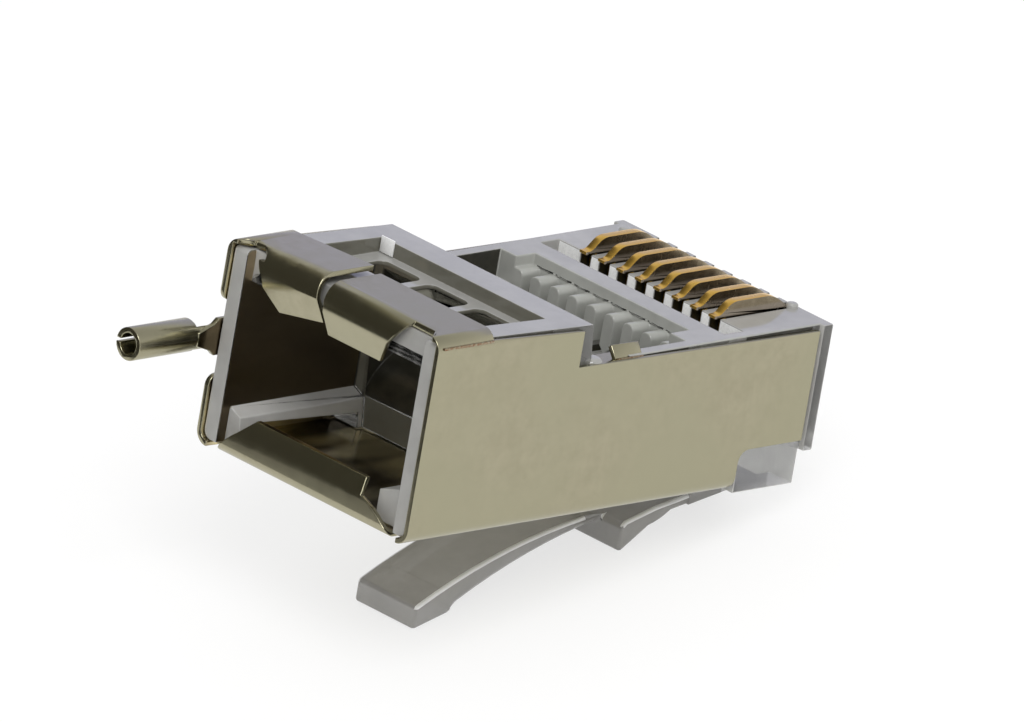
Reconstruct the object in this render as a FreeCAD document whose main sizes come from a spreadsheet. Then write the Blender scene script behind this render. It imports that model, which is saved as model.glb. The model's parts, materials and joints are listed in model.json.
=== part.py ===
"""Shielded eight-position modular plug, uncrimped, lying on its latch.

Every sub-part is modelled in the plug's own axes: X runs from the cable entry to the nose, Z from the
latch side to the contact side, and Y = 0 is the middle plane. The finished sub-parts are then pitched
nose-down together, until the thumb end and the shoulders of the latch stand on Z = 0.
"""

import FreeCAD, Part

import math
import os

import Sketcher

V = FreeCAD.Vector

# Driving dimensions: millimetres, and degrees where the name ends in _angle.
DIMENSIONS = {
    # overall envelope
    "plug_width": 11.7,
    "plug_length": 21.5,
    "rear_height": 8.4,
    "nose_height": 6.32,
    "fit_gap": 0.03,
    # folded shield
    "gauge": 0.22,
    "shield_length": 20.8,
    "bend_radius": 0.6,
    "top_bend": 0.6,
    "side_rear_drop": 0.38,
    "side_step_drop": 0.62,
    "side_front_drop": 0.02,
    "side_nose_drop": 0.2,
    "step_place": 7.82,
    "tab_start": 9.2,
    "tab_end": 10.7,
    "tab_inset": 0.9,
    "root_notch": 17.5,
    "root_notch_height": 1.65,
    "root_notch_radius": 0.5,
    # roof flaps
    "flap_length": 2.95,
    "flap_bend": 0.9,
    "flap_root": 0.9,
    "near_waist": 3.08,
    "near_shoulder": 3.9,
    "near_tip": 2.08,
    "far_waist": 3.72,
    "far_shoulder": 4.5,
    "far_tip": 2.5,
    "relief_place": 1.2,
    "relief_radius": 0.75,
    "relief_depth": 0.6,
    "near_drop": 1.15,
    "far_lift": 0.2,
    "far_drop": 1.6,
    "far_rise": 0.84,
    "seam_near_low": 0.3,
    "seam_near_top": 0.55,
    "seam_far_low": 0.55,
    "seam_far_top": 0.95,
    "end_tab_length": 1.08,
    "end_tab_angle": 24,
    # rear lip
    "lip_height": 1.78,
    "lip_crease": 1.12,
    "lip_lean": 0.32,
    "lip_foot": 4.75,
    "lip_root_height": 0.13,
    "lip_near_shoulder": 3.1,
    "lip_near_top": 2.98,
    "lip_far_shoulder": 3.75,
    "lip_far_top": 3.1,
    "lip_side_curve": 4.2,
    "lip_corner": 0.45,
    # drain-wire tail
    "window_low": 2.75,
    "window_high": 5.75,
    "window_depth": 0.55,
    "tail_height": 4.3,
    "tail_strip": 1.5,
    "tail_radius": 0.65,
    "tail_neck": 0.95,
    "tail_length": 4.05,
    "tail_seam": 0.14,
    # housing
    "housing_rear": 0.15,
    "rim_setback": 0.62,
    "roof_gap": 0.11,
    "raised_end": 8.5,
    "raised_drop": 0.2,
    "step_slope": 0.2,
    "nose_lip": 0.52,
    "nose_bottom": 1.19,
    "nose_round": 0.12,
    "front_floor": -0.2,
    "roof_wall": 0.92,
    "entry_half_width": 4.9,
    "entry_corner": 0.45,
    "entry_depth": 7.2,
    "ledge_high": 1.68,
    "ledge_low": 1.42,
    "ledge_half_width": 4.3,
    "ledge_foot": 4.0,
    "gusset_high": 1.9,
    "gusset_low": 1.45,
    "gusset_half_width": 3.45,
    "rim_end": 1.7,
    "rail_end": 6.9,
    "rail_rear_height": 1.1,
    "rail_front_height": 0.85,
    "throat_depth": 9.4,
    "throat_half_width": 4.4,
    "throat_depth_below": 3.02,
    "throat_wall": 1.12,
    "throat_curve": 2.6,
    # strain relief in the raised roof
    "pan_start": 3.3,
    "pan_end": 6.9,
    "pan_half_width": 4.5,
    "pan_depth": 0.73,
    "jaw_half_width": 4.1,
    "jaw_reach": 1.05,
    "jaw_flat": 0.75,
    "window_start": 4.9,
    "window_end": 6.4,
    "window_half_width": 3.75,
    "window_round": 0.35,
    "web_width": 0.5,
    "web_count": 2,
    # conductor comb
    "recess_start": 9.15,
    "recess_half_width": 5.1,
    "comb_place": 14.2,
    "comb_half_width": 4.25,
    "bar_start": 15.2,
    "bar_end": 16.3,
    "comb_drop": 0.45,
    "lane_width": 0.42,
    "rib_round": 0.27,
    "wire_radius": 0.46,
    "wire_drop": 2.22,
    "wire_end": 20.3,
    "trench_end": 17.3,
    "trench_depth": 1.3,
    "sill_depth": 1.12,
    # contacts
    "contact_pitch": 1.02,
    "contact_gauge": 0.36,
    "contact_play": 0.07,
    "contact_rear": 17.08,
    "contact_front": 20.95,
    "contact_rise": 0.6,
    "contact_heel": 0.86,
    "contact_toe": 0.85,
    "contact_foot": 0.1,
    "foot_length": 0.26,
    "foot_sheet": 0.12,
    "shank_setback": 0.62,
    "shank_drop": 0.97,
    "contact_round": 0.25,
    "prong_length": 0.6,
    "prong_width": 0.5,
    "crimp_travel": 1.1,
    # latch
    "thumb_place": 5.72,
    "thumb_top": -4.75,
    "thumb_foot": -5.69,
    "thumb_pad": 2.0,
    "thumb_step": 0.3,
    "thumb_blend": 0.6,
    "lever_half_width": 1.64,
    "lever_round": 0.2,
    "lever_curve": 26.0,
    "lock_place": 14.95,
    "lock_foot": -3.25,
    "lock_top": -2.05,
    "wide_half_width": 2.85,
    "ramp_length": 1.7,
    "ramp_rise": 1.05,
    "ramp_curve": 3.2,
    "strap_thickness": 0.4,
    "strap_slope": 0.17,
    "hinge_place": 19.3,
    "hinge_height": -1.4,
    "hinge_gap": 0.02,
    "root_front": 20.95,
    "root_thickness": 0.65,
    "root_round": 0.4,
}
CONTACTS = 8
CLEAR = 1.0  # how far a cutting outline runs past the material

doc = FreeCAD.newDocument("modular_plug")
sheet = doc.addObject("Spreadsheet::Sheet", "Dimensions")
for row, (alias, amount) in enumerate(DIMENSIONS.items(), start=1):
    sheet.set(f"A{row}", alias)
    sheet.set(f"B{row}", str(amount))
    sheet.setAlias(f"B{row}", alias)
doc.recompute()


class Size:
    """A length that holds its number and the expression that ties it to the sheet."""

    def __init__(self, number, text):
        self.number = float(number)
        self.text = text

    def __add__(self, other):
        other = as_size(other)
        return Size(self.number + other.number, f"({self.text} + {other.text})")

    def __sub__(self, other):
        other = as_size(other)
        return Size(self.number - other.number, f"({self.text} - {other.text})")

    def __mul__(self, other):
        other = as_size(other)
        return Size(self.number * other.number, f"({self.text} * {other.text})")

    def __truediv__(self, other):
        other = as_size(other)
        return Size(self.number / other.number, f"({self.text} / {other.text})")

    def __neg__(self):
        return Size(-self.number, f"(0 - {self.text})")

    def __radd__(self, other):
        return as_size(other) + self

    def __rsub__(self, other):
        return as_size(other) - self

    __rmul__ = __mul__


def as_size(item):
    return item if isinstance(item, Size) else Size(item, repr(float(item)))


def sine(angle):
    return Size(math.sin(math.radians(angle.number)), f"sin({angle.text} * 1 deg)")


def cosine(angle):
    return Size(math.cos(math.radians(angle.number)), f"cos({angle.text} * 1 deg)")


def tangent(angle):
    return Size(math.tan(math.radians(angle.number)), f"tan({angle.text} * 1 deg)")


class Sheet:
    """The sheet's cells by name, each as a Size."""

    def __getattr__(self, alias):
        return Size(sheet.get(alias), f"Dimensions.{alias}")


d = Sheet()
half = d.plug_width / 2
shell = half - d.gauge - d.fit_gap
floor = d.gauge + d.fit_gap
roof = d.rear_height - d.gauge - d.roof_gap
entry_top = roof - d.roof_wall
throat_roof = d.nose_height - d.throat_wall
throat_floor = d.nose_height - d.throat_depth_below
wire_height = d.nose_height - d.wire_drop
first_lane = -(CONTACTS - 1) / 2 * d.contact_pitch


def bind(item, prop, size):
    item.setExpression(prop, as_size(size).text)


def new_body(label):
    body = doc.addObject("PartDesign::Body", label)
    body.Label = label
    return body


def origin_feature(body, role):
    return next(item for item in body.Origin.OriginFeatures if item.Role == role)


def new_sketch(body, name, role, lift=0):
    """A sketch on the body's own XY, XZ or YZ plane, lifted along that plane's normal."""
    sketch = body.newObject("Sketcher::SketchObject", name)
    sketch.AttachmentSupport = [(origin_feature(body, f"{role}_Plane"), "")]
    sketch.MapMode = "FlatFace"
    bind(sketch, "AttachmentOffset.Base.z", lift)
    return sketch


def fix_point(sketch, element, spot, place):
    """Hold one point of a sketch at its two sizes, measured from the sketch's origin."""
    for kind, size in zip(("DistanceX", "DistanceY"), place):
        size = as_size(size)
        index = sketch.addConstraint(Sketcher.Constraint(kind, -1, 1, element, spot, size.number))
        bind(sketch, f"Constraints[{index}]", size)


def arc_between(start, end, radius):
    """The short arc from start to end, bulging to the left of the way where its radius is positive."""
    chord = end - start
    across = V(-chord.y, chord.x, 0).normalize() * math.copysign(1, radius)
    rise = abs(radius) - math.sqrt(radius ** 2 - chord.Length ** 2 / 4)
    return Part.Arc(start, (start + end) / 2 + across * rise, end)


def outline(sketch, *corners):
    """A closed outline through the corners; a third number is the radius of the side that starts there."""
    places = [(as_size(corner[0]), as_size(corner[1])) for corner in corners]
    radii = [as_size(corner[2]) if len(corner) > 2 else None for corner in corners]
    points = [V(across.number, up.number, 0) for across, up in places]
    heads = []
    tails = []
    for start, end, radius in zip(points, points[1:] + points[:1], radii):
        side = Part.LineSegment(start, end) if radius is None else arc_between(start, end, radius.number)
        element = sketch.addGeometry(side, False)
        head = 1 if sketch.getPoint(element, 1).distanceToPoint(start) < 1e-6 else 2
        heads.append((element, head))
        tails.append((element, 3 - head))
    for tail, head in zip(tails, heads[1:] + heads[:1]):
        sketch.addConstraint(Sketcher.Constraint("Coincident", *tail, *head))
    for head, place, radius in zip(heads, places, radii):
        fix_point(sketch, *head, place)
        if radius is not None:
            length = abs(radius.number)
            index = sketch.addConstraint(Sketcher.Constraint("Radius", head[0], length))
            bind(sketch, f"Constraints[{index}]", radius if radius.number > 0 else -radius)


def box_outline(sketch, left, right, low, high):
    outline(sketch, (left, low), (right, low), (right, high), (left, high))


def mirrored_outlines(sketch, *corners):
    """The outline and its mirror image across the middle plane, for outlines with straight sides."""
    outline(sketch, *corners)
    outline(sketch, *[(-as_size(across), up) for across, up in corners])


def rounded_box_outline(sketch, left, right, low, high, radius):
    outline(sketch, (left + radius, low), (right - radius, low, -radius), (right, low + radius),
            (right, high - radius, -radius), (right - radius, high), (left + radius, high, -radius),
            (left, high - radius), (left, low + radius, -radius))


def circle(sketch, across, up, radius):
    across, up, radius = as_size(across), as_size(up), as_size(radius)
    element = sketch.addGeometry(Part.Circle(V(across.number, up.number, 0), V(0, 0, 1), radius.number))
    fix_point(sketch, element, 3, (across, up))
    index = sketch.addConstraint(Sketcher.Constraint("Radius", element, radius.number))
    bind(sketch, f"Constraints[{index}]", radius)


def extrude(body, kind, sketch, length, both, flip):
    feature = body.newObject(f"PartDesign::{kind}", f"{sketch.Name}_{kind}")
    feature.Profile = sketch
    feature.SideType = "Symmetric" if both else "One side"
    feature.Reversed = flip
    bind(feature, "Length", length)
    doc.recompute()
    return feature


def pad(body, sketch, length, both=False, flip=False):
    return extrude(body, "Pad", sketch, length, both, flip)


def pocket(body, sketch, length, both=False, flip=False):
    return extrude(body, "Pocket", sketch, length, both, flip)


def loft(body, *sections):
    """One solid drawn through the sections in turn."""
    feature = body.newObject("PartDesign::AdditiveLoft", f"{sections[0].Name}_Loft")
    feature.Profile = sections[0]
    feature.Sections = list(sections[1:])
    feature.Ruled = len(sections) == 2
    doc.recompute()
    return feature


def row_of(body, feature, role, count, pitch):
    """Repeat a feature count times along one of the body's axes."""
    pattern = body.newObject("PartDesign::LinearPattern", f"{feature.Name}_Row")
    pattern.Originals = [feature]
    pattern.Direction = (origin_feature(body, f"{role}_Axis"), [""])
    pattern.Occurrences = count
    bind(pattern, "Length", as_size(pitch) * (count - 1))
    body.Tip = pattern
    doc.recompute()
    return pattern


def edges_at(shape, spots):
    """Names of the edges that pass through the given points."""
    names = []
    for spot in spots:
        point = Part.Vertex(*[as_size(number).number for number in spot])
        gaps = [edge.distToShape(point)[0] for edge in shape.Edges]
        names.append(f"Edge{gaps.index(min(gaps)) + 1}")
    return names


def dress(body, kind, prop, base, size, *spots):
    feature = body.newObject(f"PartDesign::{kind}", f"{base.Name}_{kind}")
    feature.Base = (base, edges_at(base.Shape, spots))
    bind(feature, prop, size)
    doc.recompute()
    return feature


def fillet(body, base, radius, *spots):
    return dress(body, "Fillet", "Radius", base, radius, *spots)


def chamfer(body, base, size, *spots):
    return dress(body, "Chamfer", "Size", base, size, *spots)


def build_shield():
    """One sheet folded round the moulding, with its top flaps, rear lip and drain-wire tail."""
    body = new_body("shield")
    middle = d.shield_length / 2
    inside = half - d.gauge

    section = new_sketch(body, "ShieldSection", "YZ")
    outline(section, (-half, d.rear_height), (-half, 0), (half, 0), (half, d.rear_height),
            (inside, d.rear_height), (inside, d.gauge), (-inside, d.gauge), (-inside, d.rear_height))
    channel = pad(body, section, d.shield_length)
    channel = fillet(body, channel, d.bend_radius, (middle, half, 0), (middle, -half, 0))
    fillet(body, channel, d.bend_radius - d.gauge, (middle, inside, d.gauge), (middle, -inside, d.gauge))

    edges = new_sketch(body, "ShieldTopEdges", "XZ")
    past = d.shield_length + CLEAR
    above = d.rear_height + CLEAR
    outline(edges, (d.flap_length, above), (d.flap_length, d.rear_height - d.side_rear_drop),
            (d.step_place, d.rear_height - d.side_step_drop),
            (d.step_place, d.nose_height - d.side_front_drop),
            (past, d.nose_height - d.side_nose_drop), (past, above))
    pocket(body, edges, d.plug_width + 2 * CLEAR, both=True)

    notch = new_sketch(body, "ShieldRootNotch", "XZ")
    box_outline(notch, d.root_notch, past, -CLEAR, d.root_notch_height)
    notched = pocket(body, notch, d.plug_width + 2 * CLEAR, both=True)
    fillet(body, notched, d.root_notch_radius, (d.root_notch, inside + d.gauge / 2, d.root_notch_height),
           (d.root_notch, -inside - d.gauge / 2, d.root_notch_height))

    build_flaps(body, inside)
    build_lip(body)
    build_tail(body, inside)

    tabs = new_sketch(body, "ShieldSideTabs", "YZ", d.tab_start)
    tab_top = d.nose_height - d.side_front_drop - d.gauge / 2
    mirrored_outlines(tabs, (half, tab_top), (inside - d.tab_inset, tab_top),
                      (inside - d.tab_inset, tab_top - d.gauge), (half, tab_top - d.gauge))
    pad(body, tabs, d.tab_end - d.tab_start)
    return body


def flap_profile(body, name, place, top, crease):
    """The side view of a flap at one place across: flat, rolled down, then creased inward."""
    sketch = new_sketch(body, name, "XZ", -place)
    inner = d.flap_bend - d.gauge
    lean_x = sine(d.end_tab_angle)
    lean_z = cosine(d.end_tab_angle)
    tip_x = d.end_tab_length * lean_x
    tip_z = crease - d.end_tab_length * lean_z
    outline(sketch, (d.flap_length, top), (d.flap_bend, top, -d.flap_bend), (0, top - d.flap_bend),
            (0, crease), (tip_x, tip_z), (tip_x + d.gauge * lean_z, tip_z + d.gauge * lean_x),
            (d.gauge, crease + d.gauge * tangent(d.end_tab_angle / 2)),
            (d.gauge, top - d.flap_bend, inner), (d.flap_bend, top - d.gauge),
            (d.flap_length, top - d.gauge))
    return sketch


def build_flaps(body, inside):
    """Two roof flaps that meet at an off-centre seam and roll down over the cable entry."""
    top = d.rear_height
    root = half - d.flap_root
    plate = new_sketch(body, "FlapPlate", "XZ")
    box_outline(plate, 0, d.flap_length, top - d.gauge, top)
    plated = pad(body, plate, d.plug_width, both=True)
    fillet(body, plated, d.top_bend, (d.flap_bend, half, top), (d.flap_bend, -half, top))
    between = new_sketch(body, "FlapOpening", "XY", top + CLEAR)
    box_outline(between, -CLEAR, d.flap_length + CLEAR, -root, root)
    pocket(body, between, CLEAR + 2 * d.gauge)

    near = flap_profile(body, "NearFlap", -root, top, top - d.near_drop)
    pad(body, near, root + d.seam_near_top, flip=True)
    loft(body, flap_profile(body, "FarFlap", root, top, top - d.far_drop),
         flap_profile(body, "FarFlapSeam", d.seam_far_low, top + d.far_lift,
                      top - d.far_drop + d.far_rise))

    tip = top - d.far_drop - d.end_tab_length - d.gauge
    beyond = root + d.gauge
    low = top - d.flap_bend
    for name, side, waist, shoulder, corner, crease in (
            ("Near", -1, d.near_waist, d.near_shoulder, d.near_tip, top - d.near_drop),
            ("Far", 1, d.far_waist, d.far_shoulder, d.far_tip, top - d.far_drop + d.gauge)):
        end = new_sketch(body, f"{name}FlapEnd", "YZ", -CLEAR)
        outline(end, (side * root, top + CLEAR), (side * shoulder, top + CLEAR), (side * shoulder, top),
                (side * waist, crease), (side * corner, tip), (side * beyond, tip),
                (side * beyond, low), (side * root, low))
        pocket(body, end, CLEAR + d.relief_depth, flip=True)
        under = new_sketch(body, f"{name}FlapUnder", "YZ", -CLEAR)
        outline(under, (side * beyond, low), (side * (waist + d.gauge), low), (side * waist, crease),
                (side * corner, tip), (side * beyond, tip))
        pocket(body, under, CLEAR + d.flap_bend, flip=True)
    relief = new_sketch(body, "FlapRelief", "XY", top + CLEAR)
    for across in (half - d.relief_place, d.relief_place - half):
        circle(relief, d.relief_depth - d.relief_radius, across, d.relief_radius)
    pocket(body, relief, CLEAR + 2 * d.gauge)

    seam = new_sketch(body, "FlapSeam", "YZ", -CLEAR)
    outline(seam, (d.seam_near_top, top + CLEAR), (d.seam_near_top, top), (d.seam_near_low, tip),
            (d.seam_far_low, tip), (d.seam_far_top, top), (d.seam_far_top, top + CLEAR))
    pocket(body, seam, 2 * CLEAR + d.flap_length, flip=True)


def build_lip(body):
    """The floor's rear edge: cut back between the corners, with a tapered lip turned up behind it."""
    inner_corner = half - d.bend_radius
    relief = new_sketch(body, "LipRelief", "XY", -CLEAR)
    box_outline(relief, -CLEAR, d.lip_corner + d.gauge, -inner_corner, inner_corner)
    pocket(body, relief, CLEAR + 2 * d.gauge, flip=True)

    profile = new_sketch(body, "LipProfile", "XZ")
    root = d.lip_corner + 2 * d.gauge
    outline(profile, (root, 0), (0, 0), (0, d.lip_crease), (d.lip_lean, d.lip_height),
            (d.lip_lean + d.gauge, d.lip_height), (d.gauge, d.lip_crease),
            (d.gauge, d.gauge), (root, d.gauge))
    lip = pad(body, profile, 2 * d.lip_foot, both=True)
    lip = fillet(body, lip, d.lip_corner, (0, 0, 0))
    fillet(body, lip, d.lip_corner - d.gauge, (d.gauge, 0, d.gauge))

    for name, side, shoulder, crown in (("Far", 1, d.lip_far_shoulder, d.lip_far_top),
                                        ("Near", -1, d.lip_near_shoulder, d.lip_near_top)):
        end = new_sketch(body, f"Lip{name}End", "YZ", -CLEAR)
        outline(end, (side * inner_corner, d.lip_root_height),
                (side * d.lip_foot, d.lip_root_height, -side * d.lip_side_curve),
                (side * shoulder, d.lip_crease), (side * crown, d.lip_height),
                (side * crown, d.lip_height + CLEAR), (side * inner_corner, d.lip_height + CLEAR))
        pocket(body, end, CLEAR + d.lip_lean + d.gauge + d.fit_gap, flip=True)


def build_tail(body, inside):
    """A strip that leaves the far side through a cut-out and rolls up into an open tube."""
    window = new_sketch(body, "TailWindow", "XZ", -half - CLEAR)
    box_outline(window, -CLEAR, d.window_depth, d.window_low, d.window_high)
    opened = pocket(body, window, CLEAR + 2 * d.gauge, flip=True)
    wall = inside + d.gauge / 2
    fillet(body, opened, 2 * d.gauge, (0, wall, d.window_low), (0, wall, d.window_high))

    centre = inside + d.tail_radius
    strip = new_sketch(body, "TailStrip", "XZ", -half)
    wide = d.tail_strip / 2
    narrow = d.tail_radius - d.gauge / 2
    outline(strip, (d.window_depth + d.gauge, d.tail_height - wide),
            (d.window_depth + d.gauge, d.tail_height + wide),
            (0, d.tail_height + wide), (-d.gauge, d.tail_height + narrow),
            (-d.tail_neck, d.tail_height + narrow / 2), (-d.tail_neck, d.tail_height - narrow / 2),
            (-d.gauge, d.tail_height - narrow), (0, d.tail_height - wide))
    pad(body, strip, d.gauge)

    tube = new_sketch(body, "TailTube", "YZ", -d.gauge)
    circle(tube, centre, d.tail_height, d.tail_radius)
    circle(tube, centre, d.tail_height, d.tail_radius - d.gauge)
    pad(body, tube, d.tail_length - d.gauge, flip=True)

    neck = new_sketch(body, "TailNeck", "YZ", -d.tail_neck)
    box_outline(neck, half, centre + 2 * d.tail_radius, d.tail_height - 2 * d.tail_radius,
                d.tail_height + 2 * d.tail_radius)
    pocket(body, neck, d.tail_neck, flip=True)

    seam = new_sketch(body, "TailSeam", "YZ", -d.tail_length - CLEAR)
    box_outline(seam, centre, centre + 2 * d.tail_radius, d.tail_height - d.tail_seam / 2,
                d.tail_height + d.tail_seam / 2)
    pocket(body, seam, d.tail_length + CLEAR, flip=True)


def build_housing():
    """The clear moulding: cable entry, strain-relief wedge, conductor comb, contact slots and nose."""
    body = new_body("housing")
    side = new_sketch(body, "HousingSide", "XZ")
    notch = d.root_notch + d.gauge
    outline(side, (d.housing_rear, floor), (d.housing_rear, roof), (d.flap_length, roof),
            (d.raised_end, roof - d.raised_drop), (d.raised_end + d.step_slope, d.nose_height),
            (d.plug_length, d.nose_height), (d.plug_length, d.nose_bottom),
            (d.root_front, d.nose_bottom), (d.root_front, d.front_floor),
            (notch, d.front_floor), (notch, floor))
    block = pad(body, side, 2 * shell, both=True)
    spot = d.entry_depth
    block = fillet(body, block, d.bend_radius - d.gauge, (spot, shell, floor), (spot, -shell, floor))
    fillet(body, block, d.gauge, (d.housing_rear, 0, roof))

    lip = new_sketch(body, "NoseLip", "XZ")
    box_outline(lip, d.plug_length - d.nose_lip, d.plug_length, d.nose_bottom, d.nose_height)
    nose = pad(body, lip, d.plug_width, both=True)
    halfway = (d.nose_bottom + d.nose_height) / 2
    fillet(body, nose, d.nose_round, (d.plug_length, half, halfway), (d.plug_length, -half, halfway))

    cut_cable_entry(body)
    cut_raised_roof(body)
    cut_front_deck(body)
    add_latch_root(body)
    return body


def cut_cable_entry(body):
    """The cable's way in, narrowing to the conductor chamber, and the bore of each conductor."""
    width, top, corner = d.entry_half_width, entry_top, d.entry_corner
    entry = new_sketch(body, "CableEntry", "YZ", d.housing_rear - CLEAR)
    outline(entry, (-width, d.gusset_high), (-width, top - corner, corner), (-width + corner, top),
            (width - corner, top, corner), (width, top - corner), (width, d.ledge_high),
            (d.ledge_half_width, d.ledge_low), (d.ledge_foot, floor - CLEAR),
            (-d.gusset_half_width, floor - CLEAR), (-d.gusset_half_width, d.gusset_low))
    pocket(body, entry, d.entry_depth - d.housing_rear + CLEAR, flip=True)

    rim = new_sketch(body, "RimSetback", "XZ")
    box_outline(rim, d.housing_rear - CLEAR, d.rim_setback, -CLEAR, roof + CLEAR)
    pocket(body, rim, 2 * width, both=True)
    under = new_sketch(body, "RailUnder", "XZ")
    outline(under, (d.rim_end, -CLEAR), (d.rail_end, -CLEAR), (d.rail_end, d.rail_front_height),
            (d.rim_end, d.rail_rear_height))
    pocket(body, under, d.plug_width, both=True)

    throat = new_sketch(body, "Throat", "XZ")
    start = d.entry_depth - d.fit_gap
    outline(throat, (start, d.ledge_low), (start, top - corner), (d.throat_depth, throat_roof),
            (d.throat_depth, throat_floor, -d.throat_curve))
    pocket(body, throat, 2 * d.throat_half_width, both=True)

    chamber = new_sketch(body, "ConductorChamber", "YZ", d.throat_depth - d.fit_gap)
    box_outline(chamber, -d.throat_half_width, d.throat_half_width, throat_floor, throat_roof)
    pocket(body, chamber, d.comb_place - d.throat_depth + d.fit_gap, flip=True)

    wires = new_sketch(body, "WireBore", "YZ", d.comb_place - d.fit_gap)
    circle(wires, first_lane, wire_height, d.wire_radius)
    bore = pocket(body, wires, d.wire_end - d.comb_place + d.fit_gap, flip=True)
    row_of(body, bore, "Y", CONTACTS, d.contact_pitch)


def cut_raised_roof(body):
    """The strain relief: a thin pan sunk in the roof, pierced by windows, and the jaw hung under it."""
    pan_floor = roof - d.pan_depth
    pan = new_sketch(body, "RoofPan", "XY", roof + CLEAR)
    box_outline(pan, d.pan_start, d.pan_end, -d.pan_half_width, d.pan_half_width)
    pocket(body, pan, CLEAR + d.pan_depth)

    jaw = new_sketch(body, "Jaw", "XZ")
    foot = entry_top - d.jaw_reach
    outline(jaw, (d.pan_start, pan_floor), (d.pan_start, foot), (d.pan_start + d.jaw_flat, foot),
            (d.window_start, entry_top), (d.window_start, pan_floor))
    pad(body, jaw, 2 * d.jaw_half_width, both=True)

    webs = int(d.web_count.number)
    opening = (2 * d.window_half_width - webs * d.web_width) / (webs + 1)
    window = new_sketch(body, "RoofWindow", "XY", roof + CLEAR)
    rounded_box_outline(window, d.window_start, d.window_end, -d.window_half_width,
                        opening - d.window_half_width, d.window_round)
    through = pocket(body, window, CLEAR + d.roof_wall + d.gauge)
    row_of(body, through, "Y", webs + 1, opening + d.web_width)


def cut_front_deck(body):
    """The comb's recess and lanes, the trench behind the contacts, and the contact slots."""
    recess = new_sketch(body, "CombRecess", "XY", d.nose_height + CLEAR)
    box_outline(recess, d.recess_start, d.comb_place, -d.recess_half_width, d.recess_half_width)
    pocket(body, recess, CLEAR + d.throat_wall + d.fit_gap)

    step = new_sketch(body, "CombStep", "XY", d.nose_height + CLEAR)
    box_outline(step, d.comb_place - d.fit_gap, d.bar_start, -d.comb_half_width, d.comb_half_width)
    pocket(body, step, CLEAR + d.comb_drop)

    lane = new_sketch(body, "CombLane", "YZ", d.comb_place - d.fit_gap)
    left, right = first_lane - d.lane_width / 2, first_lane + d.lane_width / 2
    top, bend = d.nose_height - d.comb_drop, d.rib_round
    outline(lane, (left, wire_height), (right, wire_height), (right, top - bend, bend),
            (right + bend, top), (right + bend, top + d.gauge), (left - bend, top + d.gauge),
            (left - bend, top, bend), (left, top - bend))
    first = pocket(body, lane, d.bar_start - d.comb_place, flip=True)
    row_of(body, first, "Y", CONTACTS, d.contact_pitch)

    trench = new_sketch(body, "Trench", "XY", d.nose_height + CLEAR)
    box_outline(trench, d.bar_end, d.trench_end, -d.recess_half_width, d.recess_half_width)
    pocket(body, trench, CLEAR + d.trench_depth)

    slot = new_sketch(body, "ContactSlot", "XZ", -first_lane)
    top = d.nose_height + CLEAR
    back = d.trench_end - d.fit_gap
    front = d.contact_front + d.contact_play
    sill = d.nose_height - d.sill_depth
    bottom = d.nose_height - d.shank_drop - d.prong_length - d.crimp_travel - d.contact_play
    outline(slot, (back, top), (back, bottom), (front, bottom), (front, sill),
            (d.plug_length + CLEAR, sill), (d.plug_length + CLEAR, top))
    cut = pocket(body, slot, d.contact_gauge + 2 * d.contact_play, both=True)
    row_of(body, cut, "Y", CONTACTS, d.contact_pitch)

    seats = new_sketch(body, "TabSeats", "YZ", d.tab_start - d.fit_gap)
    inset = shell - d.tab_inset - d.fit_gap
    low = d.nose_height - d.side_front_drop - 1.5 * d.gauge - d.fit_gap
    top = d.nose_height + CLEAR
    mirrored_outlines(seats, (half + CLEAR, low), (half + CLEAR, top), (inset, top), (inset, low))
    pocket(body, seats, d.tab_end - d.tab_start + 2 * d.fit_gap, flip=True)


def add_latch_root(body):
    """The post under the nose that carries the latch's strap, up to the bending line."""
    root = new_sketch(body, "LatchRoot", "XZ")
    strap = d.strap_thickness / 2
    start = d.hinge_place + strap + d.hinge_gap
    lift = d.strap_slope * (d.root_front - d.root_thickness - d.hinge_place)
    outline(root, (start, d.hinge_height - strap), (start, d.hinge_height + strap),
            (d.root_front - d.root_thickness, d.hinge_height + strap + lift),
            (d.root_front - d.root_thickness, d.nose_bottom / 2),
            (d.root_front, d.nose_bottom / 2),
            (d.root_front, d.hinge_height + strap),
            (d.root_front - d.strap_thickness, d.hinge_height - strap + lift))
    post = pad(body, root, 2 * d.wide_half_width, both=True)
    fillet(body, post, d.root_round, (d.root_front - d.strap_thickness, 0, d.hinge_height - strap + lift))


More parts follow.
